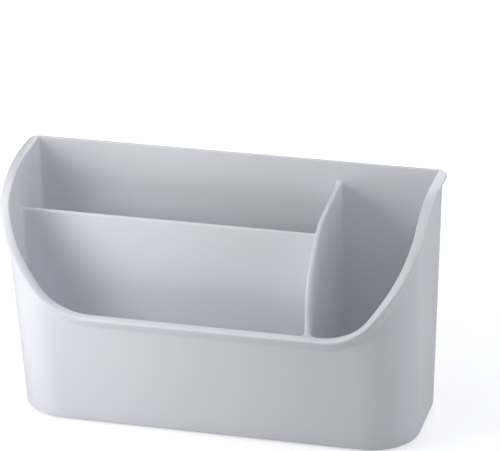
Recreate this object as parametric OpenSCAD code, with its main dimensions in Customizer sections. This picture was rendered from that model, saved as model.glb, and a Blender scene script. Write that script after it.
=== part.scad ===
// Desk caddy moulded in white plastic: a tub with a scooped front, a flared lip,
// a letter divider and a cross divider that make three compartments, and four
// stick-on feet. The tub is lofted from an unrolled rim line: a level back part,
// a shoulder arc, a straight ramp, a toe arc and a low level front.

/* [Body] */
// Width across the back at the foot of the walls
back_w = 278.5; // [220:0.5:340]
// Depth from the back face to the front wall at the foot of the walls
base_d = 78.5; // [66:0.5:110]
// Height of the back wall above the underside of the tub
back_h = 174; // [165:1:200]
// Height of the low front rim above the underside of the tub
front_h = 87; // [75:0.5:95]
// Lean of the side walls away from upright, in degrees
side_draft = 0.55; // [0.2:0.05:3]
// Forward lean of the front wall, in degrees
front_lean = 10.9; // [6:0.1:14]
// Turn of each side wall in plan, which narrows the tub to the front, in degrees
side_taper = 2.2; // [1:0.1:5]
// Outer radius of the two front corners
corner_r = 35; // [24:0.5:42]
// Outer radius of the two back corners
back_r = 1.5; // [1:0.1:3]
// Inner radius of the two back corners
back_inner_r = 2; // [1:0.1:4]

/* [Wall] */
// Thickness of the tub's walls
wall_t = 2.6; // [2:0.1:4]
// Thickness of the floor
floor_t = 3; // [2:0.1:5]
// Rounding of the edge between the walls and the underside
base_round = 1.6; // [0.8:0.1:3]

/* [Rim] */
// Run from the back face along the side to the start of the shoulder
shoulder_at = 28; // [20:0.5:34]
// Radius of the shoulder, unrolled
shoulder_r = 72.5; // [60:0.5:84]
// Steepest slope of the rim, in degrees
ramp_angle = 53.2; // [48:0.1:60]
// Radius of the toe, unrolled
toe_r = 40.5; // [30:0.5:48]
// How far the lip stands out from the wall
lip_reach = 4; // [2:0.1:5]
// Drop from the crest of the rim to the outermost line of the lip
lip_drop = 1.7; // [1.6:0.1:4]
// Height of the lip, measured down the wall from the crest
lip_h = 10.3; // [8:0.1:14]
// Rounding in plan of the lip's end at the back face
lip_end_r = 7; // [2:0.5:10]
// Rounding of the rim's inner edge
rim_round = 1.1; // [0.6:0.1:1.3]

/* [Dividers] */
// Thickness of the dividers at their top edge
divider_t = 3; // [2:0.1:4]
// Lean of each face of a divider, in degrees
divider_draft = 0.5; // [0:0.05:0.8]
// Distance from the back face to the middle of the letter divider
letter_y = 46.5; // [40:0.5:54]
// Height of the letter divider's top edge above the underside of the tub
letter_h = 139.5; // [120:0.5:142]
// Distance from the tub's middle to the cross divider, at the back wall
cross_x = 71.4; // [40:0.1:85]
// Turn of the cross divider in plan, in degrees
cross_turn = 1.4; // [0:0.1:3]
// Height of the cross divider's top edge at the back wall
cross_h = 159.5; // [150:0.5:166]
// Fall of the cross divider's top edge before its bend, in degrees
cross_fall = 6; // [2:0.5:8]
// Radius of the bend in the cross divider's top edge
cross_bend_r = 49.5; // [36:0.5:56]

/* [Feet] */
// Diameter of a foot
foot_d = 12; // [8:0.5:16]
// Height of a foot
foot_h = 1.2; // [0.8:0.1:2]
// Distance from a foot's middle to the tub's nearest sides
foot_inset = 19; // [16:0.5:24]
// Rounding of a foot's lower edge
foot_round = 0.4; // [0.2:0.1:0.6]

/* [Hidden] */

white = [0.93, 0.93, 0.94];
foot_grey = [0.72, 0.73, 0.75];

// Stations per stretch of the half outline, and points per rounding
back_steps = 3;
back_corner_steps = 5;
end_steps = 4;
side_steps = 11;
corner_steps = 14;
toe_steps = 7;
front_steps = 3;
base_steps = 3;
under_steps = 6;
nose_steps = 5;
inner_steps = 3;
wall_rows = 2;
edge_steps = 8;
bend_steps = 16;
foot_steps = 4;

tan_draft = tan(side_draft);
tan_lean = tan(front_lean);
tan_taper = tan(side_taper);
tan_turn = tan(cross_turn);
tan_divider = tan(divider_draft);

// Half the width at the back face, and the depth, of the outline at height z
function half_w(z) = back_w / 2 + z * tan_draft;
function depth(z) = base_d + z * tan_lean;
function mix(a, b, t) = a + (b - a) * t;

// Middle of a corner arc that touches a side pulled in by inset, at depth y
function arc_mid(y, r, inset, z) =
    [half_w(z) + y * tan_taper - (r + inset) / cos(side_taper), y];
// Where the side runs into the front corner
function side_end(z) = -(depth(z) - corner_r) - corner_r * sin(side_taper);

// Unrolled lengths of the side, the corner and half the front, at mid rim
rim_mid = (back_h + front_h) / 2;
side_len = -side_end(rim_mid) / cos(side_taper);
arc_len = corner_r * (90 - side_taper) * PI / 180;
front_len = arc_mid(-(depth(rim_mid) - corner_r), corner_r, 0, rim_mid)[0];

// The unrolled rim line: where each stretch of it ends
ramp_drop = back_h - front_h - (shoulder_r + toe_r) * (1 - cos(ramp_angle));
shoulder_end = shoulder_at + shoulder_r * sin(ramp_angle);
ramp_end = shoulder_end + ramp_drop / tan(ramp_angle);
toe_end = ramp_end + toe_r * sin(ramp_angle);
function rim_angle(s) =
    s < shoulder_at ? 0 :
    s < shoulder_end ? asin((s - shoulder_at) / shoulder_r) :
    s < ramp_end ? ramp_angle :
    s < toe_end ? asin((toe_end - s) / toe_r) : 0;
function rim_z(s) =
    s < shoulder_end ? back_h - shoulder_r * (1 - cos(rim_angle(s))) :
    s < ramp_end ? back_h - shoulder_r * (1 - cos(ramp_angle)) - (s - shoulder_end) * tan(ramp_angle) :
    front_h + toe_r * (1 - cos(rim_angle(s)));

// Outward direction, and point of the outer face, at run s and height z
function out_angle(s) =
    s <= side_len ? -side_taper :
    -side_taper - (90 - side_taper) * min(1, (s - side_len) / arc_len);
function outer_pt(s, z) =
    s <= side_len ?
        let (y = side_end(z) * s / side_len) [half_w(z) + y * tan_taper, y] :
    s <= side_len + arc_len ?
        arc_mid(-(depth(z) - corner_r), corner_r, 0, z)
        + corner_r * [cos(out_angle(s)), sin(out_angle(s))] :
        let (f = (s - side_len - arc_len) / front_len)
        [arc_mid(-(depth(z) - corner_r), corner_r, 0, z)[0] * (1 - f), -depth(z)];

// The inner face starts its side further forward, past the inner back corner
inner_start = wall_t + back_inner_r;
function inner_pt(s, z) =
    let (a = out_angle(s), p = outer_pt(s, z) - wall_t * [cos(a), sin(a)])
    s > side_len ? p :
    let (
        f = (s - back_r) / (side_len - back_r),
        y = mix(-inner_start, side_end(z) + wall_t * sin(side_taper), f)
    )
    [half_w(z) + y * tan_taper - wall_t / cos(side_taper), y];

// Back corner and back wall: t runs from 0, at the middle, to 1, at the side
function back_angle(t) = mix(90, -side_taper, t);
function back_pt(t, z, r, inset) =
    arc_mid(-r - inset, r, inset, z) + r * [cos(back_angle(t)), sin(back_angle(t))];

// A station is [kind, place]: kind 0 is the back wall, 1 its corner, 2 the rest
stations = concat(
    [for (i = [0:back_steps - 1]) [0, i / back_steps]],
    [for (i = [0:back_corner_steps - 1]) [1, i / back_corner_steps]],
    [for (i = [0:end_steps - 1]) [2, mix(back_r, lip_end_r, i / end_steps)]],
    [for (i = [0:side_steps - 1]) [2, mix(lip_end_r, side_len, i / side_steps)]],
    [for (i = [0:corner_steps - 1]) [2, side_len + arc_len * i / corner_steps]],
    [for (i = [0:toe_steps - 1]) [2, mix(side_len + arc_len, toe_end, i / toe_steps)]],
    [for (i = [0:front_steps]) [2, mix(toe_end, side_len + arc_len + front_len, i / front_steps)]]);

function wall_out(st, s, z) =
    st[0] == 0 ? [back_pt(0, z, back_r, 0)[0] * st[1], 0] :
    st[0] == 1 ? back_pt(st[1], z, back_r, 0) : outer_pt(s, z);
function wall_in(st, s, z) =
    st[0] == 0 ? [back_pt(0, z, back_inner_r, wall_t)[0] * st[1], -wall_t] :
    st[0] == 1 ? back_pt(st[1], z, back_inner_r, wall_t) : inner_pt(s, z);
function way_out(st, s) =
    let (a = st[0] == 0 ? 90 : st[0] == 1 ? back_angle(st[1]) : out_angle(s))
    [cos(a), sin(a)];
// The lip is cut off flush with the flat back face and its end is a quarter round
// in plan: at the back corner its reach is the ray from the corner arc's middle to
// the back face or to that round, less the arc's own radius
end_step = [lip_end_r - back_r - lip_reach, lip_end_r - back_r];
function flush_reach(a) = back_r / sin(a) - back_r;
function round_reach(a) =
    let (along = end_step * [cos(a), sin(a)])
    sqrt(along * along + lip_end_r * lip_end_r - end_step * end_step) - along - back_r;
function reach(st) =
    st[0] == 0 ? 0 :
    st[0] == 1 ?
        let (a = back_angle(st[1]), flush = a > 0 && back_r / tan(a) - back_r < lip_reach - lip_end_r)
        max(0, flush ? flush_reach(a) : round_reach(a)) :
    st[1] < lip_end_r ?
        lip_reach - lip_end_r + sqrt(lip_end_r * lip_end_r - pow(lip_end_r - st[1], 2)) :
    lip_reach;
// Point at height b above the rim line and distance n outside the outer face
function wall_at(st, b, n) =
    let (
        s0 = st[0] == 2 ? st[1] : 0,
        a = rim_angle(s0),
        s = st[0] == 2 ? max(0, s0 + b * sin(a)) : 0,
        z = rim_z(s0) + b * cos(a),
        p = n >= 0 ? wall_out(st, s, z) + n * way_out(st, s)
            : mix(wall_out(st, s, z), wall_in(st, s, z), -n / wall_t)
    )
    [p[0], p[1], z];
// Point at fraction t of the way from the foot of the wall up to height b
function foot_at(st, t, b, z0, n) =
    let (
        s0 = st[0] == 2 ? st[1] : 0,
        a = rim_angle(s0),
        s = st[0] == 2 ? max(0, s0 + t * b * sin(a)) : 0,
        z = mix(z0, rim_z(s0) + b * cos(a), t),
        p = n == 0 ? wall_out(st, s, z) : wall_in(st, s, z)
    )
    [p[0], p[1], z];

// One section, from the underside up the outer face, over the lip and down inside
function section(st) =
    let (
        g = reach(st),
        k = g / lip_reach,
        drop = mix(rim_round, lip_drop, k),
        top = -rim_round
    )
    concat(
        [for (i = [0:base_steps])
            let (
                a = 90 * i / base_steps,
                q = foot_at(st, 0, 0, base_round * (1 - cos(a)), 0),
                w = way_out(st, st[0] == 2 ? st[1] : 0) * base_round * (1 - sin(a))
            )
            [q[0] - w[0], q[1] - w[1], q[2]]],
        [for (i = [1:wall_rows]) foot_at(st, i / (wall_rows + 1), -lip_h, base_round, 0)],
        [for (i = [0:under_steps - 1])
            let (t = i / under_steps)
            wall_at(st, mix(-lip_h, -drop, t), g * (1 - cos(180 * t)) / 2)],
        [for (i = [0:nose_steps])
            let (a = 90 * i / nose_steps)
            wall_at(st, -drop * (1 - sin(a)), mix(top, g, cos(a)))],
        [for (i = [0:inner_steps])
            let (a = 90 * i / inner_steps)
            wall_at(st, -rim_round * (1 - cos(a)),
                -wall_t + rim_round * (1 - sin(a)))],
        [for (i = [wall_rows - 1:-1:0]) foot_at(st, i / wall_rows, -rim_round, floor_t, 1)]);

half_loop = [for (st = stations) section(st)];
last = len(half_loop) - 1;
loop = concat(half_loop,
    [for (i = [last - 1:-1:1]) [for (p = half_loop[i]) [-p[0], p[1], p[2]]]]);
rows = len(loop);
cols = len(loop[0]);

// Depth over the lip, which places the tub's middle on the origin
body_d = -min([for (r = loop) for (p = r) p[1]]);

// Where the dividers meet the tub and each other
function left_face(y, z) = -(half_w(z) + y * tan_taper - wall_t / cos(side_taper));
function front_face(z) = -(depth(z) - wall_t);
function cross_mid(y) = cross_x + (y + wall_t) * tan_turn;
function cross_half(z) = divider_t / 2 + (cross_h - z) * tan_divider;
function letter_half(z) = divider_t / 2 + (letter_h - z) * tan_divider;

module place() {
    translate([0, body_d / 2, foot_h])
        children();
}

module shell() {
    color(white) place() polyhedron(
        points = concat(
            [for (r = loop) for (p = r) p],
            [[0, -base_d / 2, 0], [0, -base_d / 2, floor_t]]),
        faces = concat(
            [for (i = [0:rows - 1]) for (j = [0:cols - 2]) let (n = (i + 1) % rows)
                [i * cols + j, n * cols + j + 1, n * cols + j]],
            [for (i = [0:rows - 1]) for (j = [0:cols - 2]) let (n = (i + 1) % rows)
                [i * cols + j, i * cols + j + 1, n * cols + j + 1]],
            [for (i = [0:rows - 1]) let (n = (i + 1) % rows)
                [rows * cols, i * cols, n * cols]],
            [for (i = [0:rows - 1]) let (n = (i + 1) % rows)
                [rows * cols + 1, (n + 1) * cols - 1, (i + 1) * cols - 1]]),
        convexity = 8);
}

// The letter divider's profile, from its foot at the front round to the back
letter_profile = concat(
    [[-letter_y - letter_half(floor_t), floor_t]],
    [for (i = [0:edge_steps])
        let (a = 180 * i / edge_steps, r = divider_t / 2, z = letter_h - r + r * sin(a))
        [-letter_y - letter_half(letter_h - r) * cos(a), z]],
    [[-letter_y + letter_half(floor_t), floor_t]]);

module letter_divider() {
    n = len(letter_profile);
    color(white) place() polyhedron(
        points = concat(
            [for (p = letter_profile) [left_face(p[0], p[1]), p[0], p[1]]],
            [for (p = letter_profile)
                [cross_mid(p[0]) - cross_half(p[1]), p[0], p[1]]]),
        faces = concat(
            [[for (i = [n - 1:-1:0]) i], [for (i = [0:n - 1]) n + i]],
            [for (i = [0:n - 1]) [i, (i + 1) % n, n + (i + 1) % n]],
            [for (i = [0:n - 1]) [i, n + (i + 1) % n, n + i]]),
        convexity = 4);
}

// The cross divider's top edge, from the back wall over the bend to the rim
cross_front_y = front_face(front_h);
bend_mid_y = cross_front_y + cross_bend_r;
bend_start_y = bend_mid_y - cross_bend_r * sin(cross_fall);
bend_start_z = cross_h + (bend_start_y + wall_t) * tan(cross_fall);
bend_mid_z = bend_start_z - cross_bend_r * cos(cross_fall);
// Each entry is [y, z, tilt of the edge, how round the edge is]
cross_edge = concat(
    [[-wall_t, cross_h, 0, 1]],
    [for (i = [0:bend_steps])
        let (a = mix(cross_fall, 90, i / bend_steps))
        [bend_mid_y - cross_bend_r * sin(a), bend_mid_z + cross_bend_r * cos(a), a, 1]],
    [[cross_front_y, front_h + divider_t, 90, 1], [cross_front_y, front_h, 90, 0]]);
function cross_section(e) =
    [for (i = [0:edge_steps])
        let (
            a = 180 * i / edge_steps,
            d = cross_half(e[1]) * (1 - sin(a)) * e[3],
            y = e[0] + d * sin(e[2]),
            z = e[1] - d * cos(e[2])
        )
        [cross_mid(y) - cross_half(z) * cos(a), y, z]];

module cross_divider() {
    rings = [for (e = cross_edge) cross_section(e)];
    m = len(rings);
    k = edge_steps + 1;
    feet = [for (y = [front_face(floor_t), -wall_t]) for (side = [-1, 1])
        [cross_mid(y) + side * cross_half(floor_t), y, floor_t]];
    f = m * k;
    color(white) place() polyhedron(
        points = concat([for (r = rings) for (p = r) p], feet),
        faces = concat(
            [for (i = [0:m - 2]) for (j = [0:k - 2])
                [i * k + j, (i + 1) * k + j + 1, (i + 1) * k + j]],
            [for (i = [0:m - 2]) for (j = [0:k - 2])
                [i * k + j, i * k + j + 1, (i + 1) * k + j + 1]],
            [for (i = [0:m - 2]) [f + 2, i * k, (i + 1) * k]],
            [for (i = [0:m - 2]) [f + 3, (i + 2) * k - 1, (i + 1) * k - 1]],
            [for (j = [0:k - 2]) [f + 2, j + 1, j]],
            [for (j = [0:k - 2]) [f, f - k + j, f - k + j + 1]],
            [[f + 2, f - k, f], [f + 3, f + 1, f - 1], [f + 2, f + 3, k - 1],
                [f, f - 1, f + 1], [f, f + 1, f + 3], [f, f + 3, f + 2]]),
        convexity = 6);
}

// One foot, standing on the desk, its middle at x and y of the tub's own plan
module foot(x, y) {
    color(foot_grey) translate([x, y + body_d / 2, 0]) rotate_extrude($fn = 64)
        polygon(concat(
            [[0, foot_h], [0, 0]],
            [for (i = [0:foot_steps]) let (a = 90 * i / foot_steps)
                [foot_d / 2 - foot_round * (1 - sin(a)), foot_round * (1 - cos(a))]],
            [[foot_d / 2, foot_h]]));
}

foot_back_x = half_w(0) - foot_inset;
foot_front_y = -(base_d - foot_inset);
foot_front_x = half_w(0) + foot_front_y * tan_taper - foot_inset;

module foot_front_left() {
    foot(-foot_front_x, foot_front_y);
}
module foot_front_right() {
    foot(foot_front_x, foot_front_y);
}
module foot_back_left() {
    foot(-foot_back_x, -foot_inset);
}
module foot_back_right() {
    foot(foot_back_x, -foot_inset);
}

shell();
letter_divider();
cross_divider();
foot_front_left();
foot_front_right();
foot_back_left();
foot_back_right();
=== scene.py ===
"""Desk caddy in white plastic, with its stage: surfaces, finishes, lights and camera."""

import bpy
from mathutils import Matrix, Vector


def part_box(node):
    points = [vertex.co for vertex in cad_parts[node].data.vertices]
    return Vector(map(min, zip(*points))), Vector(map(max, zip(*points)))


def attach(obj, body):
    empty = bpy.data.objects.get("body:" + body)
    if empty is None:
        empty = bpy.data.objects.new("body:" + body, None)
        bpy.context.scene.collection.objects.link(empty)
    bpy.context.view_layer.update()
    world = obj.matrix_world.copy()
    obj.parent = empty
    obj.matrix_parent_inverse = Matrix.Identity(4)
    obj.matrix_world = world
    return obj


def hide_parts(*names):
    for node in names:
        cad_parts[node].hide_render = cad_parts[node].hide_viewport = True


bl_info = {
    "name": "Desk Caddy",
    "version": (1, 0, 0),
    "blender": (4, 5, 0),
    "location": "3D View > Sidebar > Desk Caddy",
    "description": "Builds a white moulded desk caddy with dividers, and a plain studio stage",
    "category": "Add Mesh",
}

import math

import bpy
import numpy as np
from bpy.props import FloatProperty, FloatVectorProperty, PointerProperty
from mathutils import Matrix, Vector

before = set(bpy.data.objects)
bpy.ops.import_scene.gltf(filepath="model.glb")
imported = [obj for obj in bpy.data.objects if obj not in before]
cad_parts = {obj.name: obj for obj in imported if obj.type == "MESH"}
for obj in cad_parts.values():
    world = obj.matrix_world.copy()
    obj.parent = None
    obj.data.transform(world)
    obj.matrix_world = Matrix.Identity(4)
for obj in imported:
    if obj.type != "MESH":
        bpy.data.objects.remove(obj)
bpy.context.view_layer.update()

SHELL_LOW, SHELL_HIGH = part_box("shell")
BODY = "root"
PHOTO_WIDTH_PX = 500
SENSOR_WIDTH_MM = 36.0
FEET = ("foot_front_left", "foot_front_right", "foot_back_left", "foot_back_right")

# The plastic: waves a metre of its cloud, flow marks and moulded grain, the heights of the
# marks and the grain in metres, the share of them that shows, and how far each moves the
# roughness.
CLOUD_WAVES, FLOW_WAVES, GRAIN_WAVES = 9.0, 26.0, 1500.0
FLOW_HEIGHT, GRAIN_HEIGHT, PLASTIC_RELIEF = 0.00012, 0.000012, 0.5
FLOW_ROUGH, GRAIN_ROUGH = 0.07, 0.05
PLASTIC_IOR = 1.46

# The rubber: waves a metre of its dust and skin, their height in metres and the share of it
# that shows, the dust's share and brightness, and the roughness without dust and what dust
# adds.
DUST_WAVES, SKIN_WAVES = 420.0, 3200.0
SKIN_HEIGHT, RUBBER_RELIEF = 0.00002, 0.6
DUST_SHARE, DUST_LIFT = 0.35, 1.5
RUBBER_ROUGH, DUST_ROUGH = 0.62, 0.15
RUBBER_IOR = 1.5

# Points across the tub's section: round its foot, up or down a face, under the lip, over the
# crest, round the inner edge, and in the floor's fillet.
BASE_STEPS, FACE_STEPS, UNDER_STEPS, CREST_STEPS, EDGE_STEPS, FLOOR_STEPS = 7, 16, 16, 14, 8, 8
# Sections along half the rim: back, back corner, the lip's end, side, front corner, on to the
# toe's end, and the level front.
STATION_STEPS = (24, 14, 14, 70, 80, 36, 30)
# The smallest angle, in radians, whose sine or tangent is divided by.
LEAST_ANGLE = 0.001

# The letter divider: rows up a face and over the top, columns in a fillet and between them,
# and the power that draws the rows closer together near the floor.
LETTER_FACE_STEPS, LETTER_TOP_STEPS, FILLET_STEPS, SPAN_STEPS = 40, 19, 9, 60
LETTER_EASE = 1.4
# The cross divider: rows along its top edge, columns over the edge and down a face, and the
# power that draws the columns closer together near the edge.
LEVEL_STEPS, BEND_STEPS, DROP_STEPS = 40, 60, 36
CROSS_TOP_STEPS, CROSS_FACE_STEPS = 21, 44
CROSS_EASE = 1.3

# A foot: its edge round and its hollow as shares of its height, its rings as shares of its
# radius, from the hollow to the seat under the base, and its points round and in the edge.
FOOT_EDGE, FOOT_HOLLOW = 0.35, 0.25
HOLLOW_RING, REST_RING, SEAT_RING = 0.55, 0.75, 0.8
FOOT_TURNS, FOOT_EDGE_STEPS = 72, 7

# Edges that turn more than this stay sharp.
CREASE_DEGREES = 40.0

# The floor: half its side, its colour and roughness, and the distances between which it
# turns white.
FLOOR_HALF = 6.0
FLOOR_COLOUR, FLOOR_ROUGH = (0.62, 0.62, 0.63, 1.0), 0.9
WHITE_FROM, WHITE_TO = 0.15, 0.75
BLACK, WHITE = (0.0, 0.0, 0.0, 1.0), (1.0, 1.0, 1.0, 1.0)

# The nearest and the furthest that the camera sees, in metres.
CLIP_NEAR, CLIP_FAR = 0.05, 50.0

# The softboxes and the point that they face: name, place, width and height, and tint. Their
# powers are in the panel.
LAMP_AIM = (0.0, 0.0, 0.08)
SOFTBOXES = (
    ("key", (-0.38, -0.38, 0.10), (0.16, 0.30), "plain"),
    ("near", (-0.30, -0.30, 0.30), (0.20, 0.20), "plain"),
    ("left", (-0.42, -0.10, 0.085), (0.20, 0.15), "plain"),
    ("bounce", (-0.22, -0.30, 0.012), (0.40, 0.20), "cool"),
    ("right", (0.95, -0.15, 0.40), (0.50, 0.50), "cool"),
    ("top", (0.0, -0.10, 0.95), (0.90, 0.70), "plain"),
    ("high", (0.50, -0.20, 0.60), (0.40, 0.40), "cool"),
    ("back", (0.0, 0.90, 0.45), (0.90, 0.60), "cool"),
)


def length(name, default, description):
    """A length in metres, shown in the panel."""
    return FloatProperty(
        name=name, description=description, default=default,
        min=0.0, subtype="DISTANCE", unit="LENGTH", precision=4)


def angle(name, degrees, description):
    """An angle, kept in radians and written here in degrees."""
    return FloatProperty(
        name=name, description=description, default=math.radians(degrees),
        subtype="ANGLE", unit="ROTATION")


def power(name, default, description):
    """A lamp's power in watts."""
    return FloatProperty(
        name=name, description=description, default=default, min=0.0, unit="POWER")


def colour(name, default, description):
    """A linear colour."""
    return FloatVectorProperty(
        name=name, description=description, default=default,
        min=0.0, max=1.0, size=3, subtype="COLOR")


class CaddyTubSizes(bpy.types.PropertyGroup):
    """Sizes of the tub and its rim."""

    back_w: length("Back width", 0.2785, "Width across the back at the foot of the walls")
    base_d: length("Base depth", 0.0785, "Depth at the foot of the walls")
    back_h: length("Back height", SHELL_HIGH.z - SHELL_LOW.z, "Height of the back wall")
    front_h: length("Front height", 0.087, "Height of the low front rim")
    side_draft: angle("Side draft", 0.55, "Lean of the side walls away from upright")
    front_lean: angle("Front lean", 10.9, "Forward lean of the front wall")
    side_taper: angle("Side taper", 2.2, "Turn of each side wall in plan")
    corner_r: length("Front corner radius", 0.035, "Outer radius of the front corners")
    back_r: length("Back corner radius", 0.0015, "Outer radius of the back corners")
    back_inner_r: length("Inner back radius", 0.002, "Inner radius of the back corners")
    wall_t: length("Wall", 0.0026, "Thickness of the walls")
    floor_t: length("Floor", 0.003, "Thickness of the floor")
    base_round: length("Base rounding", 0.0016, "Rounding under the foot of the walls")
    floor_fillet: length("Floor fillet", 0.003, "Fillet between the walls and the floor")


class CaddyRimSizes(bpy.types.PropertyGroup):
    """The unrolled rim line and the section of its lip."""

    shoulder_at: length("Shoulder start", 0.028, "Run from the back to the shoulder")
    shoulder_r: length("Shoulder radius", 0.0725, "Radius of the shoulder, unrolled")
    ramp_angle: angle("Ramp", 53.2, "Steepest slope of the rim")
    toe_r: length("Toe radius", 0.0405, "Radius of the toe, unrolled")
    lip_reach: length("Lip reach", 0.004, "How far the lip stands out from the wall")
    lip_drop: length("Lip drop", 0.0017, "Drop from the crest to the lip's outermost line")
    lip_h: length("Lip height", 0.0103, "Height of the lip down the wall")
    lip_end_r: length("Lip end radius", 0.007, "Rounding in plan where the lip ends")
    rim_round: length("Rim rounding", 0.0011, "Rounding of the rim's inner edge")


class CaddyDividerSizes(bpy.types.PropertyGroup):
    """Sizes and places of the two dividers."""

    divider_t: length("Thickness", 0.003, "Thickness at a divider's top edge")
    divider_draft: angle("Draft", 0.5, "Lean of each face of a divider")
    letter_y: length("Letter divider", 0.0465, "From the back face to the letter divider")
    letter_h: length("Letter divider height", 0.1395, "Height of its top edge")
    cross_x: length("Cross divider", 0.0714, "From the middle to the cross divider")
    cross_turn: angle("Cross turn", 1.4, "Turn of the cross divider in plan")
    cross_h: length("Cross divider height", 0.1595, "Height at the back wall")
    cross_fall: angle("Cross fall", 6.0, "Fall of its top edge before the bend")
    cross_bend_r: length("Cross bend", 0.0495, "Radius of the bend in its top edge")
    fillet: length("Fillet", 0.0022, "Fillet where a divider meets a wall")


class CaddyFinish(bpy.types.PropertyGroup):
    """Colours and gloss of the materials."""

    plastic: colour("Plastic", (0.875, 0.88, 0.925), "Colour of the white plastic")
    plastic_shade: colour("Plastic shade", (0.85, 0.855, 0.90), "Its faint cloudy shade")
    plastic_rough: FloatProperty(
        name="Plastic roughness", description="Roughness of the satin plastic",
        default=0.40, min=0.0, max=1.0, subtype="FACTOR")
    rubber: colour("Rubber", (0.34, 0.35, 0.37), "Colour of the feet")


class CaddyStage(bpy.types.PropertyGroup):
    """Camera, lamps and floor."""

    camera_turn: angle("Camera turn", 13.127, "Camera's place round the caddy from its front")
    camera_rise: angle("Camera rise", 23.138, "Camera's height angle")
    camera_distance: length("Camera distance", 1.7688, "From the aim to the camera")
    focal_px: FloatProperty(
        name="Focal length in pixels", description="Focal length for the photo's width",
        default=2526.9, min=100.0)
    aim_right: FloatProperty(
        name="Aim right", description="Aim, to the right of the foot of the back face",
        default=0.0093, subtype="DISTANCE", unit="LENGTH", precision=4)
    aim_up: FloatProperty(
        name="Aim up", description="Aim, above the foot of the back face",
        default=0.11012, subtype="DISTANCE", unit="LENGTH", precision=4)
    key_power: power("Key", 0.42, "Power of the low softbox at the left front")
    near_power: power("Near", 0.70, "Power of the softbox above it")
    left_power: power("Left", 0.15, "Power of the low softbox at the left")
    bounce_power: power("Bounce", 0.33, "Power of the softbox on the floor at the front")
    right_power: power("Right", 2.3, "Power of the softbox at the right")
    top_power: power("Top", 2.9, "Power of the overhead softbox")
    high_power: power("High", 0.55, "Power of the small softbox high at the right")
    back_power: power("Back", 3.9, "Power of the softbox behind the caddy")
    plain_tint: colour("Plain tint", (0.99, 0.985, 1.0), "Colour of the plain softboxes")
    cool_tint: colour("Cool tint", (0.92, 0.94, 1.0), "Colour of the cool softboxes")
    sky: FloatProperty(
        name="Sky", description="Strength of the surrounding light", default=0.03, min=0.0)
    gloss_share: FloatProperty(
        name="Gloss share", description="Share of the white background that gloss reflects",
        default=0.35, min=0.0, max=1.0, subtype="FACTOR")
    floor_lift: FloatProperty(
        name="Floor lift", default=0.58, min=0.0,
        description="Light that only the camera and reflections see on the floor")


class Socket:
    """A node's output, so that shader maths is written as an expression."""

    def __init__(self, tree, output):
        self.tree = tree
        self.output = output

    def maths(self, operation, *values):
        """Adds a Math node."""
        return self.tree.add("ShaderNodeMath", {"operation": operation}, values)

    def larger(self, other):
        """The larger of two values."""
        return self.maths("MAXIMUM", self, other)

    def __add__(self, other):
        return self.maths("ADD", self, other)

    __radd__ = __add__

    def __mul__(self, other):
        return self.maths("MULTIPLY", self, other)

    __rmul__ = __mul__

    def __sub__(self, other):
        return self.maths("SUBTRACT", self, other)

    def __rsub__(self, other):
        return self.maths("SUBTRACT", other, self)


class Tree:
    """The node tree of a new material or of the world."""

    def __init__(self, owner):
        owner.use_nodes = True
        self.nodes = owner.node_tree.nodes
        self.links = owner.node_tree.links
        self.nodes.clear()

    def add(self, kind, settings=(), values=(), out=0):
        """Makes a node: its settings first, then its sockets, by name or in order."""
        node = self.nodes.new(kind)
        for name, value in dict(settings).items():
            setattr(node, name, value)
        pairs = values.items() if isinstance(values, dict) else enumerate(values)
        for name, value in pairs:
            if isinstance(value, Socket):
                self.links.new(value.output, node.inputs[name])
            else:
                node.inputs[name].default_value = value
        return Socket(self, node.outputs[out]) if len(node.outputs) else None

    def mix(self, factor, a, b):
        """Mixes two colours, by the numbers of the Mix node's colour sockets."""
        return self.add(
            "ShaderNodeMix", {"data_type": "RGBA"}, {0: factor, 6: a, 7: b}, out=2)

    def noise(self, vector, scale, detail=2.0, roughness=0.5):
        """Noise from 0 to 1, its scale in waves a metre."""
        values = {"Vector": vector, "Scale": scale, "Detail": detail, "Roughness": roughness}
        return self.add("ShaderNodeTexNoise", {}, values)


def rgba(value):
    """A colour with full alpha."""
    return (value[0], value[1], value[2], 1.0)


def satin_plastic(finish):
    """Satin white plastic: a faint cloud in the colour, a fine moulded grain and gloss that
    wanders a little, as on an injection moulding."""
    made = bpy.data.materials.new("satin_plastic")
    tree = Tree(made)
    place = tree.add("ShaderNodeTexCoord", out="Object")
    cloud = tree.noise(place, CLOUD_WAVES, detail=3.0)
    grain = tree.noise(place, GRAIN_WAVES, roughness=0.6)
    flow = tree.noise(place, FLOW_WAVES)
    base = tree.mix(cloud, rgba(finish.plastic), rgba(finish.plastic_shade))
    rough = finish.plastic_rough + FLOW_ROUGH * (flow - 0.5) + GRAIN_ROUGH * (grain - 0.5)
    height = grain * GRAIN_HEIGHT + flow * FLOW_HEIGHT
    normal = tree.add("ShaderNodeBump", {}, {
        "Strength": PLASTIC_RELIEF, "Distance": 1.0, "Height": height})
    shader = tree.add("ShaderNodeBsdfPrincipled", {}, {
        "Base Color": base, "Roughness": rough, "Normal": normal, "IOR": PLASTIC_IOR})
    tree.add("ShaderNodeOutputMaterial", {}, {"Surface": shader})
    return made


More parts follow.
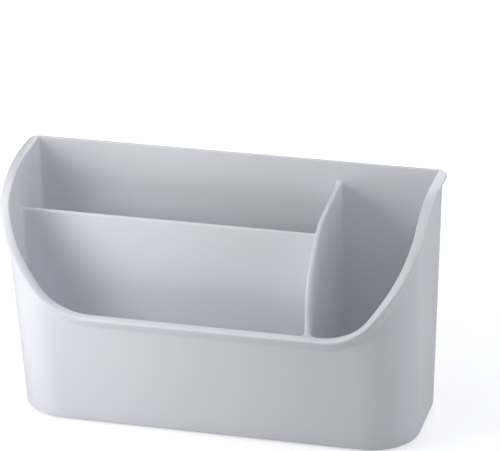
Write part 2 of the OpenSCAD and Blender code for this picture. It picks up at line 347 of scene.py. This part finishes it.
def matt_rubber(finish):
    """Soft grey rubber with a matt, slightly dusty skin."""
    made = bpy.data.materials.new("matt_rubber")
    tree = Tree(made)
    place = tree.add("ShaderNodeTexCoord", out="Object")
    dust = tree.noise(place, DUST_WAVES, detail=4.0, roughness=0.6)
    skin = tree.noise(place, SKIN_WAVES)
    dusty = [DUST_LIFT * c for c in finish.rubber]
    base = tree.mix(dust * DUST_SHARE, rgba(finish.rubber), rgba(dusty))
    height = skin * SKIN_HEIGHT + dust * SKIN_HEIGHT
    normal = tree.add("ShaderNodeBump", {}, {
        "Strength": RUBBER_RELIEF, "Distance": 1.0, "Height": height})
    shader = tree.add("ShaderNodeBsdfPrincipled", {}, {
        "Base Color": base, "Roughness": RUBBER_ROUGH + DUST_ROUGH * dust,
        "Normal": normal, "IOR": RUBBER_IOR})
    tree.add("ShaderNodeOutputMaterial", {}, {"Surface": shader})
    return made


def material(name):
    """The named material, made the first time it is asked for."""
    makers = {"satin_plastic": satin_plastic, "matt_rubber": matt_rubber}
    found = bpy.data.materials.get(name)
    return found or makers[name](bpy.context.scene.caddy_finish)


def mix(a, b, t):
    """The value at the part t of the way from a to b."""
    return a + (b - a) * t


def spread(low, high, count):
    """Even values from low up to, but without, high."""
    return low + (high - low) * np.arange(count) / count


def eased(count):
    """Values from 0 to 1 that lie closer together at both ends: (1 - cos(pi t)) / 2."""
    return 0.5 - 0.5 * np.cos(np.pi * np.linspace(0.0, 1.0, count))


def fillet_rise(distance, radius):
    """Rise of a quarter round of the radius at a distance from its wall, else 0."""
    gap = np.clip(radius - distance, 0.0, radius)
    return radius - np.sqrt(np.maximum(radius ** 2 - gap ** 2, 0.0))


BACK, CORNER, SIDE = 0, 1, 2


class TubShape:
    """Points of the tub's walls. Runs along the outline and heights are in metres; the
    origin is the middle of the back face at the underside of the tub."""

    def __init__(self, tub, rim):
        self.tub = tub
        self.rim = rim
        self.draft = math.tan(tub.side_draft)
        self.lean = math.tan(tub.front_lean)
        self.taper = math.tan(tub.side_taper)
        mid = (tub.back_h + tub.front_h) / 2
        self.side_len = -self.side_end(mid) / math.cos(tub.side_taper)
        self.arc_len = tub.corner_r * (math.pi / 2 - tub.side_taper)
        self.front_len = self.arc_x(-(self.depth(mid) - tub.corner_r), tub.corner_r, 0, mid)
        self.total = self.side_len + self.arc_len + self.front_len
        a = rim.ramp_angle
        drop = tub.back_h - tub.front_h - (rim.shoulder_r + rim.toe_r) * (1 - math.cos(a))
        self.shoulder_end = rim.shoulder_at + rim.shoulder_r * math.sin(a)
        self.ramp_end = self.shoulder_end + drop / math.tan(a)
        self.toe_end = self.ramp_end + rim.toe_r * math.sin(a)

    def half_w(self, z):
        """Half the width at the back face: half the foot's width plus z tan(draft)."""
        return self.tub.back_w / 2 + z * self.draft

    def depth(self, z):
        """Depth to the front wall: the foot's depth plus z tan(lean)."""
        return self.tub.base_d + z * self.lean

    def arc_x(self, y, r, inset, z):
        """X of the middle of a corner arc at depth y that touches the inset side."""
        return self.half_w(z) + y * self.taper - (r + inset) / math.cos(self.tub.side_taper)

    def side_end(self, z):
        """Y where the side runs into the front corner."""
        r = self.tub.corner_r
        return -(self.depth(z) - r) - r * math.sin(self.tub.side_taper)

    def rim_angle(self, s):
        """Slope of the rim at run s: level, shoulder arc, ramp, toe arc, level."""
        rim = self.rim
        shoulder = np.arcsin(np.clip((s - rim.shoulder_at) / rim.shoulder_r, 0, 1))
        toe = np.arcsin(np.clip((self.toe_end - s) / rim.toe_r, 0, 1))
        return np.where(
            s < self.shoulder_end, shoulder, np.where(s < self.ramp_end, rim.ramp_angle, toe))

    def rim_z(self, s):
        """Height of the rim at run s, from the arcs' own slopes."""
        rim, tub = self.rim, self.tub
        a = self.rim_angle(s)
        shoulder = tub.back_h - rim.shoulder_r * (1 - np.cos(a))
        ramp_top = tub.back_h - rim.shoulder_r * (1 - math.cos(rim.ramp_angle))
        ramp = ramp_top - (s - self.shoulder_end) * math.tan(rim.ramp_angle)
        toe = tub.front_h + rim.toe_r * (1 - np.cos(a))
        return np.where(
            s < self.shoulder_end, shoulder, np.where(s < self.ramp_end, ramp, toe))

    def out_angle(self, kind, place, s):
        """Direction of the outward normal in plan, from +X."""
        taper = self.tub.side_taper
        round_front = -taper - (math.pi / 2 - taper) * np.clip(
            (s - self.side_len) / self.arc_len, 0, 1)
        round_back = mix(math.pi / 2, -taper, place)
        return np.where(
            kind == BACK, math.pi / 2, np.where(kind == CORNER, round_back, round_front))

    def face(self, kind, place, s, z, inset, back_r, first):
        """Points of the outer face (inset 0) or the inner face (inset = wall): straight
        back and side, arcs at the corners and a straight front. The inner side begins the
        depth first in front of the back face."""
        tub = self.tub
        taper = tub.side_taper
        r = tub.corner_r
        a = self.out_angle(kind, place, s)
        back_x = self.arc_x(-back_r - inset, back_r, inset, z)
        share = np.clip((s - tub.back_r) / (self.side_len - tub.back_r), None, 1)
        end = self.side_end(z) + inset * math.sin(taper)
        side_y = mix(-first, end, share) if inset else self.side_end(z) * s / self.side_len
        side_x = self.half_w(z) + side_y * self.taper - inset / math.cos(taper)
        mid_y = -(self.depth(z) - r)
        mid_x = self.arc_x(mid_y, r, 0, z)
        front = np.clip((s - self.side_len - self.arc_len) / self.front_len, 0, 1)
        on_side, on_arc = s <= self.side_len, s <= self.side_len + self.arc_len
        run_x = np.where(on_side, side_x, np.where(
            on_arc, mid_x + (r - inset) * np.cos(a), mid_x * (1 - front)))
        run_y = np.where(on_side, side_y, np.where(
            on_arc, mid_y + (r - inset) * np.sin(a), -self.depth(z) + inset))
        x = np.where(kind == BACK, back_x * place, np.where(
            kind == CORNER, back_x + back_r * np.cos(a), run_x))
        y = np.where(kind == BACK, -inset, np.where(
            kind == CORNER, -back_r - inset + back_r * np.sin(a), run_y))
        return x, y

    def wall(self, kind, place, s, z, n):
        """Point at run s and height z, n outside the outer face or, below 0, inside it on
        the line from the outer to the inner face."""
        tub = self.tub
        outer = self.face(kind, place, s, z, 0.0, tub.back_r, 0.0)
        inner = self.face(
            kind, place, s, z, tub.wall_t, tub.back_inner_r, tub.wall_t + tub.back_inner_r)
        a = self.out_angle(kind, place, s)
        inward = np.clip(-n, 0, None) / tub.wall_t
        outward = np.clip(n, 0, None)
        x = mix(outer[0], inner[0], inward) + outward * np.cos(a)
        y = mix(outer[1], inner[1], inward) + outward * np.sin(a)
        return np.stack([x, y, z + 0 * x], -1)

    def stations(self):
        """Kinds and places of the sections along the right half, from the back's middle."""
        lip_run = 2 * self.rim.lip_end_r
        corner_end = self.side_len + self.arc_len
        back, back_corner, lip_end, side, corner, toe, front = STATION_STEPS
        stretches = [
            (BACK, spread(0.0, 1.0, back)),
            (CORNER, spread(0.0, 1.0, back_corner)),
            (SIDE, spread(self.tub.back_r, lip_run, lip_end)),
            (SIDE, spread(lip_run, self.side_len, side)),
            (SIDE, spread(self.side_len, corner_end, corner)),
            (SIDE, spread(corner_end, self.toe_end, toe)),
            (SIDE, np.linspace(self.toe_end, self.total, front))]
        kind = np.concatenate([np.full(len(p), k) for k, p in stretches])
        return kind[:, None], np.concatenate([p for k, p in stretches])[:, None]

    def reach(self, kind, place):
        """The lip's reach: none on the back, and cut flush with the back face at its corner,
        where its end is a quarter round in plan. At the corner it is the length of the ray
        from the corner arc's middle to that round, less the arc's own radius."""
        r, full, end_r = self.tub.back_r, self.rim.lip_reach, self.rim.lip_end_r
        a = self.out_angle(kind, place, 0 * place)
        steep = np.maximum(a, LEAST_ANGLE)
        flush = r / np.sin(steep) - r
        step_x, step_y = end_r - r - full, end_r - r
        along = np.cos(a) * step_x + np.sin(a) * step_y
        ray = np.sqrt(along ** 2 + end_r ** 2 - step_x ** 2 - step_y ** 2) - along
        corner = np.where(r / np.tan(steep) - r < full - end_r, flush, ray - r)
        gap = np.clip(end_r - place, 0.0, end_r)
        side = full - end_r + np.sqrt(end_r ** 2 - gap ** 2)
        return np.where(kind == BACK, 0.0, np.where(kind == CORNER, corner, side))

    def loop(self):
        """The closed surface as rows of sections: underside, outer face, lip, crest, inner
        face, floor fillet. Each section is set square to the rim line."""
        tub, rim = self.tub, self.rim
        kind, place = self.stations()
        s0 = np.where(kind == SIDE, place, 0.0)
        slope = self.rim_angle(s0)
        top = self.rim_z(s0)
        g = self.reach(kind, place)
        drop = mix(rim.rim_round, rim.lip_drop, g / rim.lip_reach)
        one = np.ones_like(s0)

        def near_rim(b, n):
            """Height b above the rim line, square to it, and n outside the wall."""
            return s0 + b * np.sin(slope), top + b * np.cos(slope), n * one

        def below(t, b, foot_z, n):
            """Fraction t of the way from the wall's foot up to height b at the rim."""
            height = mix(foot_z, top + b * np.cos(slope), t)
            return s0 + t * b * np.sin(slope), height, n + 0 * height

        quarter = np.pi / 2
        a = np.linspace(0, quarter, BASE_STEPS)[None, :]
        base = (s0 + 0 * a, tub.base_round * (1 - np.cos(a)) + 0 * s0,
                -tub.base_round * (1 - np.sin(a)) * one)
        t = np.linspace(0, 1, FACE_STEPS)[None, 1:-1]
        outer = below(t, -rim.lip_h, tub.base_round, 0.0)
        t = spread(0.0, 1.0, UNDER_STEPS)[None, :]
        under = near_rim(mix(-rim.lip_h, -drop, t), g * (1 - np.cos(np.pi * t)) / 2)
        a = np.linspace(0, quarter, CREST_STEPS)[None, :]
        nose = near_rim(-drop * (1 - np.sin(a)), mix(-rim.rim_round, g, np.cos(a)))
        a = np.linspace(0, quarter, EDGE_STEPS)[None, :]
        inside = near_rim(
            -rim.rim_round * (1 - np.cos(a)), -tub.wall_t + rim.rim_round * (1 - np.sin(a)))
        floor, fillet = tub.floor_t, tub.floor_fillet
        t = np.linspace(1, 0, FACE_STEPS)[None, 1:]
        inner = below(t, -rim.rim_round, floor + fillet, -tub.wall_t)
        a = np.linspace(0, quarter, FLOOR_STEPS)[None, 1:]
        foot = (s0 + 0 * a, floor + fillet * (1 - np.sin(a)) + 0 * s0,
                -(tub.wall_t + fillet * (1 - np.cos(a))) * one)
        blocks = [base, outer, under, nose, inside, inner, foot]
        s, z, n = (np.concatenate([b[i] for b in blocks], 1) for i in range(3))
        half = self.wall(kind, place, np.maximum(s, 0.0), z, n)
        other = half[-2:0:-1] * np.array([-1.0, 1.0, 1.0])
        return np.concatenate([half, other])


class DividerShape:
    """Points of the two dividers, in the tub's own frame."""

    def __init__(self, shape, sizes):
        self.shape = shape
        self.tub = shape.tub
        self.sizes = sizes
        self.lean = math.tan(sizes.divider_draft)
        self.turn = math.tan(sizes.cross_turn)

    def left_face(self, y, z):
        """X of the left wall's inner face."""
        shape, tub = self.shape, self.tub
        return -(shape.half_w(z) + y * shape.taper - tub.wall_t / math.cos(tub.side_taper))

    def front_face(self, z):
        """Y of the front wall's inner face."""
        return -(self.shape.depth(z) - self.tub.wall_t)

    def cross_mid(self, y):
        """X of the cross divider's middle plane, which is turned a little in plan."""
        return self.sizes.cross_x + (y + self.tub.wall_t) * self.turn

    def half(self, z, top):
        """Half the thickness of a divider at height z."""
        return self.sizes.divider_t / 2 + (top - z) * self.lean

    def letter(self):
        """Rows round the profile, from the front foot over the round top to the back foot,
        and columns from the left wall to the cross divider. Each point moves out along
        the profile's normal by the fillets' rise near a wall or the floor."""
        sizes, floor = self.sizes, self.tub.floor_t
        r = sizes.divider_t / 2
        shoulder = sizes.letter_h - r
        rise = np.linspace(0, 1, LETTER_FACE_STEPS) ** LETTER_EASE
        up = floor + (shoulder - floor) * rise
        a = np.linspace(0, np.pi, LETTER_TOP_STEPS)[1:-1]
        z = np.concatenate([up, shoulder + r * np.sin(a), up[::-1]])
        y = np.concatenate([
            -self.half(up, sizes.letter_h), -self.half(shoulder, sizes.letter_h) * np.cos(a),
            self.half(up[::-1], sizes.letter_h)]) - sizes.letter_y
        out_y = np.concatenate([-np.ones(len(up)), -np.cos(a), np.ones(len(up))])
        out_z = np.concatenate([0 * up, np.sin(a), 0 * up])
        y, z, out_y, out_z = (v[:, None] for v in (y, z, out_y, out_z))
        left = self.left_face(y, z)
        right = self.cross_mid(y) - self.half(z, sizes.cross_h)
        reach = sizes.fillet
        near = reach * (1 - np.cos(np.linspace(0, np.pi / 2, FILLET_STEPS)))
        span = np.linspace(0, 1, SPAN_STEPS)[None, 1:-1]
        middle = mix(left + reach, right - reach, span)
        x = np.concatenate([left + near, middle, right - near[::-1]], 1)
        swell = fillet_rise(x - left, reach) + fillet_rise(right - x, reach)
        swell = swell + fillet_rise(z - floor, reach)
        return np.stack([x, y + out_y * swell, z + out_z * swell], -1)

    def cross_edge(self):
        """The top edge as y, z and tilt: a slight fall from the back wall, a bend of the
        set radius, and a plumb drop to the front rim."""
        sizes, tub = self.sizes, self.tub
        fall, r = sizes.cross_fall, sizes.cross_bend_r
        front_y = self.front_face(tub.front_h)
        mid_y = front_y + r
        start_y = mid_y - r * math.sin(fall)
        start_z = sizes.cross_h + (start_y + tub.wall_t) * math.tan(fall)
        mid_z = start_z - r * math.cos(fall)
        t = eased(LEVEL_STEPS)[:-1]
        level = (mix(-tub.wall_t, start_y, t), mix(sizes.cross_h, start_z, t), fall + 0 * t)
        a = spread(fall, math.pi / 2, BEND_STEPS)
        bend = (mid_y - r * np.sin(a), mid_z + r * np.cos(a), a)
        t = eased(DROP_STEPS)
        drop = (front_y + 0 * t, mix(mid_z, tub.front_h, t), math.pi / 2 + 0 * t)
        return (np.concatenate(v) for v in zip(level, bend, drop))

    def cross(self):
        """Rows along the top edge and columns across it: up the left face from the floor,
        over the half round edge and down the right face. The half thickness grows by the
        fillets' rise near the back wall, the front wall and the floor."""
        sizes, tub = self.sizes, self.tub
        reach, floor = sizes.fillet, tub.floor_t
        y0, z0, tilt = (v[:, None] for v in self.cross_edge())
        run = np.linspace(0, 1, len(y0))[:, None]
        foot_y = mix(-tub.wall_t, self.front_face(floor), run)
        end = np.clip((z0 - tub.front_h) / sizes.divider_t, 0, 1)
        soft = np.where(tilt >= math.pi / 2, end, 1.0)
        a = np.linspace(0, np.pi, CROSS_TOP_STEPS)[None, :]
        dip = self.half(z0, sizes.cross_h) * (1 - np.sin(a)) * soft
        lift = fillet_rise(-tub.wall_t - y0, reach)
        edge_y = y0 + (dip - lift) * np.sin(tilt)
        edge_z = z0 - (dip - lift) * np.cos(tilt)
        down = (np.linspace(0, 1, CROSS_FACE_STEPS) ** CROSS_EASE)[None, 1:]
        side_y = mix(edge_y[:, :1], foot_y, down)
        side_z = mix(edge_z[:, :1], floor, down)
        y = np.concatenate([side_y[:, ::-1], edge_y, side_y], 1)
        z = np.concatenate([side_z[:, ::-1], edge_z, side_z], 1)
        across = np.concatenate([
            -np.ones(side_y.shape), -np.cos(a) + 0 * y0, np.ones(side_y.shape)], 1)
        rim_gap = np.hypot(
            np.clip(y - self.front_face(np.minimum(z, tub.front_h)), 0, None),
            np.clip(z - tub.front_h, 0, None))
        swell = fillet_rise(-tub.wall_t - y, reach) + fillet_rise(z - floor, reach)
        swell = swell + fillet_rise(rim_gap, reach)
        x = self.cross_mid(y) + across * (self.half(z, sizes.cross_h) + swell)
        return np.stack([x, y, z], -1)


def grid_faces(number, close_rows, close_cols):
    """Quads of a grid of point numbers, whose rows or columns may join up in a ring."""
    rows, cols = number.shape
    i = np.arange(rows if close_rows else rows - 1)[:, None]
    j = np.arange(cols if close_cols else cols - 1)[None, :]
    i2, j2 = (i + 1) % rows, (j + 1) % cols
    quads = [number[i, j], number[i, j2], number[i2, j2], number[i2, j]]
    return np.stack(quads, -1).reshape(-1, 4)


def fan_faces(ring, middle):
    """Triangles from a ring of point numbers to a middle point."""
    return np.stack([ring, np.roll(ring, -1), np.full(len(ring), middle)], -1)


def capped_faces(number, close_cols):
    """Quads of a grid whose rows, or else whose columns, join up in a ring, and a fan of
    triangles over each of its two ends, round the two points after the grid's own."""
    low, high = number[:, 0], number[::-1, -1]
    if close_cols:
        low, high = number[0, ::-1], number[-1]
    return [
        grid_faces(number, not close_cols, close_cols),
        fan_faces(low, number.size),
        fan_faces(high, number.size + 1)]


def signed_volume(points, faces):
    """Six times the volume inside the faces, above 0 if they face outwards."""
    total = 0.0
    for group in faces:
        a = points[group[:, 0]]
        for k in range(1, group.shape[1] - 1):
            b, c = points[group[:, k]], points[group[:, k + 1]]
            total += np.einsum("ij,ij->i", a, np.cross(b, c)).sum()
    return total


def make_piece(name, grid, ends, material_name, nodes, close_cols=False):
    """A closed, smooth mesh that faces outwards, from a grid of points in metres that joins
    up in a ring and the middle of each of its ends, with the CAD nodes it stands for."""
    points = np.concatenate([grid.reshape(-1, 3), ends])
    rows, cols = grid.shape[:2]
    faces = capped_faces(np.arange(rows * cols).reshape(rows, cols), close_cols)
    if signed_volume(points, faces) < 0:
        faces = [group[:, ::-1] for group in faces]
    mesh = bpy.data.meshes.new(name)
    mesh.from_pydata(points.tolist(), [], [f for group in faces for f in group.tolist()])
    mesh.validate()
    mesh.shade_smooth()
    mesh.set_sharp_from_angle(angle=math.radians(CREASE_DEGREES))
    piece = bpy.data.objects.new(name, mesh)
    bpy.context.scene.collection.objects.link(piece)
    piece.data.materials.append(material(material_name))
    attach(piece, BODY)
    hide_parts(*nodes)


def tub_place(points):
    """Points moved from the tub's own frame to the caddy's, whose back face and underside
    come from the CAD."""
    return points + np.array([0.0, SHELL_HIGH.y, SHELL_LOW.z])


def caddy_shapes():
    """The shapes of the tub and the dividers, from the panel's sizes."""
    scene = bpy.context.scene
    shape = TubShape(scene.caddy_tub, scene.caddy_rim)
    return shape, DividerShape(shape, scene.caddy_dividers)


class CADDY_OT_shell(bpy.types.Operator):
    """Builds the tub with its scooped rim and flared lip"""

    bl_idname = "caddy.shell"
    bl_label = "Shell"

    def execute(self, context):
        shape, _ = caddy_shapes()
        mid = -shape.tub.base_d / 2
        ends = np.array([[0.0, mid, 0.0], [0.0, mid, shape.tub.floor_t]])
        make_piece(
            "shell_moulding", tub_place(shape.loop()), tub_place(ends),
            "satin_plastic", ["shell"])
        return {"FINISHED"}


class CADDY_OT_dividers(bpy.types.Operator):
    """Builds the letter divider and the cross divider with their fillets"""

    bl_idname = "caddy.dividers"
    bl_label = "Dividers"

    def execute(self, context):
        _, dividers = caddy_shapes()
        letter, cross = tub_place(dividers.letter()), tub_place(dividers.cross())
        make_piece(
            "letter_divider_plate", letter, [letter[:, 0].mean(0), letter[:, -1].mean(0)],
            "satin_plastic", ["letter_divider"])
        make_piece(
            "cross_divider_plate", cross, [cross[0].mean(0), cross[-1].mean(0)],
            "satin_plastic", ["cross_divider"], close_cols=True)
        return {"FINISHED"}


def foot_points(low, high):
    """A round foot: a profile with a rounded rim and a shallow hollow under it, turned
    about its own axis."""
    radius = (high.x - low.x) / 2
    height = high.z - low.z
    edge = FOOT_EDGE * height
    hollow = FOOT_HOLLOW * height
    a = np.linspace(0, np.pi / 2, FOOT_EDGE_STEPS)
    out = np.concatenate([
        [HOLLOW_RING * radius, REST_RING * radius], radius - edge * (1 - np.sin(a)),
        [radius, SEAT_RING * radius]])
    up = np.concatenate([[hollow, 0.0], edge * (1 - np.cos(a)), [height, height]])
    turn = spread(0.0, 2 * np.pi, FOOT_TURNS)[:, None]
    mid_x, mid_y = (high.x + low.x) / 2, (high.y + low.y) / 2
    x = mid_x + out[None, :] * np.cos(turn)
    y = mid_y + out[None, :] * np.sin(turn)
    points = np.stack([x, y, low.z + up[None, :] + 0 * turn], -1)
    ends = np.array([[mid_x, mid_y, low.z + hollow], [mid_x, mid_y, high.z]])
    return points, ends


class CADDY_OT_feet(bpy.types.Operator):
    """Builds the four round rubber feet"""

    bl_idname = "caddy.feet"
    bl_label = "Feet"

    def execute(self, context):
        for node in FEET:
            points, ends = foot_points(*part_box(node))
            make_piece(node + "_bumper", points, ends, "matt_rubber", [node])
        return {"FINISHED"}


def add_softbox(name, place, size, watts, tint):
    """A softbox at a place, turned to the lamps' aim."""
    lamp = bpy.data.lights.new(name, "AREA")
    lamp.shape = "RECTANGLE"
    lamp.size, lamp.size_y = size
    lamp.energy = watts
    lamp.color = tint
    softbox = bpy.data.objects.new(name, lamp)
    way = Vector(LAMP_AIM) - Vector(place)
    turn = way.to_track_quat("-Z", "Y").to_matrix().to_4x4()
    softbox.matrix_world = Matrix.Translation(place) @ turn
    softbox.visible_camera = False
    bpy.context.scene.collection.objects.link(softbox)


def add_camera(stage):
    """The camera at the photo's angle, from its turn, rise, distance and aim."""
    turn, rise = stage.camera_turn, stage.camera_rise
    right = Vector((math.cos(turn), math.sin(turn), 0.0))
    level = math.cos(rise)
    back = Vector((math.sin(turn) * level, -math.cos(turn) * level, math.sin(rise)))
    up = back.cross(right)
    foot = Vector((0.0, SHELL_HIGH.y, SHELL_LOW.z))
    eye = foot + right * stage.aim_right + up * stage.aim_up + back * stage.camera_distance
    data = bpy.data.cameras.new("photo_camera")
    data.sensor_width = SENSOR_WIDTH_MM
    data.lens = SENSOR_WIDTH_MM * stage.focal_px / PHOTO_WIDTH_PX
    data.clip_start, data.clip_end = CLIP_NEAR, CLIP_FAR
    camera = bpy.data.objects.new("photo_camera", data)
    axes = Matrix((right, up, back)).transposed().to_4x4()
    camera.matrix_world = Matrix.Translation(eye) @ axes
    bpy.context.scene.collection.objects.link(camera)
    bpy.context.scene.camera = camera


def showing_ray(tree, gloss_share):
    """How white a ray sees the background: fully for the camera's rays and those through
    glass, and by the given share for those in gloss."""
    kinds = ("Is Camera Ray", "Is Glossy Ray", "Is Transmission Ray")
    camera, gloss, clear = (tree.add("ShaderNodeLightPath", out=kind) for kind in kinds)
    return camera.larger(clear).larger(gloss * gloss_share)


def floor_material(stage):
    """A pale floor that keeps the shadow. The camera and reflections see it lifted, a little
    beside the caddy and to full white further off."""
    made = bpy.data.materials.new("pale_floor")
    tree = Tree(made)
    seen = showing_ray(tree, stage.gloss_share)
    place = tree.add("ShaderNodeNewGeometry", out="Position")
    away = tree.add("ShaderNodeVectorMath", {"operation": "LENGTH"}, [place], out="Value")
    far = tree.add("ShaderNodeMapRange", {"interpolation_type": "SMOOTHSTEP"}, {
        "Value": away, "From Min": WHITE_FROM, "From Max": WHITE_TO})
    lift = seen * (stage.floor_lift + far * (1.0 - stage.floor_lift))
    glow = tree.mix(lift, BLACK, WHITE)
    shader = tree.add("ShaderNodeBsdfPrincipled", {}, {
        "Base Color": FLOOR_COLOUR, "Roughness": FLOOR_ROUGH, "Specular IOR Level": 0.0,
        "Emission Color": glow, "Emission Strength": 1.0})
    tree.add("ShaderNodeOutputMaterial", {}, {"Surface": shader})
    return made


def set_sky(stage):
    """Even surrounding light, white where the camera looks past the floor."""
    world = bpy.data.worlds.new("studio_sky")
    tree = Tree(world)
    strength = showing_ray(tree, stage.gloss_share) * (1.0 - stage.sky) + stage.sky
    light = tree.add("ShaderNodeBackground", {}, {"Color": WHITE, "Strength": strength})
    tree.add("ShaderNodeOutputWorld", {}, {"Surface": light})
    bpy.context.scene.world = world


class CADDY_OT_stage(bpy.types.Operator):
    """Sets the pale floor, the softboxes, the sky and the camera"""

    bl_idname = "caddy.stage"
    bl_label = "Stage"

    def execute(self, context):
        stage = context.scene.caddy_stage
        mesh = bpy.data.meshes.new("pale_floor")
        signs = ((-1, -1), (1, -1), (1, 1), (-1, 1))
        corners = [(x * FLOOR_HALF, y * FLOOR_HALF, 0.0) for x, y in signs]
        mesh.from_pydata(corners, [], [(0, 1, 2, 3)])
        floor = bpy.data.objects.new("pale_floor", mesh)
        context.scene.collection.objects.link(floor)
        floor.data.materials.append(floor_material(stage))
        for name, place, size, tint in SOFTBOXES:
            add_softbox(
                name + "_softbox", place, size,
                getattr(stage, name + "_power"), getattr(stage, tint + "_tint"))
        set_sky(stage)
        add_camera(stage)
        context.scene.view_settings.view_transform = "Standard"
        return {"FINISHED"}


class CADDY_PT_panel(bpy.types.Panel):
    """The caddy's pieces and stage in the sidebar"""

    bl_idname = "CADDY_PT_panel"
    bl_label = "Desk Caddy"
    bl_space_type = "VIEW_3D"
    bl_region_type = "UI"
    bl_category = "Desk Caddy"

    def draw(self, context):
        for operator in OPERATORS:
            self.layout.operator(operator.bl_idname)
        for name in GROUPS:
            group = getattr(context.scene, name)
            box = self.layout.box()
            for key in group.__annotations__:
                box.prop(group, key)


GROUPS = {
    "caddy_tub": CaddyTubSizes,
    "caddy_rim": CaddyRimSizes,
    "caddy_dividers": CaddyDividerSizes,
    "caddy_finish": CaddyFinish,
    "caddy_stage": CaddyStage,
}
OPERATORS = (CADDY_OT_shell, CADDY_OT_dividers, CADDY_OT_feet, CADDY_OT_stage)
CLASSES = tuple(GROUPS.values()) + OPERATORS + (CADDY_PT_panel,)


def register():
    """Registers the classes and puts their groups on the scene."""
    for cls in CLASSES:
        bpy.utils.register_class(cls)
    for name, group in GROUPS.items():
        setattr(bpy.types.Scene, name, PointerProperty(type=group))


def unregister():
    """Takes the groups off the scene and unregisters the classes."""
    for name in GROUPS:
        delattr(bpy.types.Scene, name)
    for cls in reversed(CLASSES):
        bpy.utils.unregister_class(cls)


def main():
    """Builds the caddy and its stage."""
    register()
    bpy.ops.caddy.shell()
    bpy.ops.caddy.dividers()
    bpy.ops.caddy.feet()
    bpy.ops.caddy.stage()


if __name__ == "__main__":
    main()
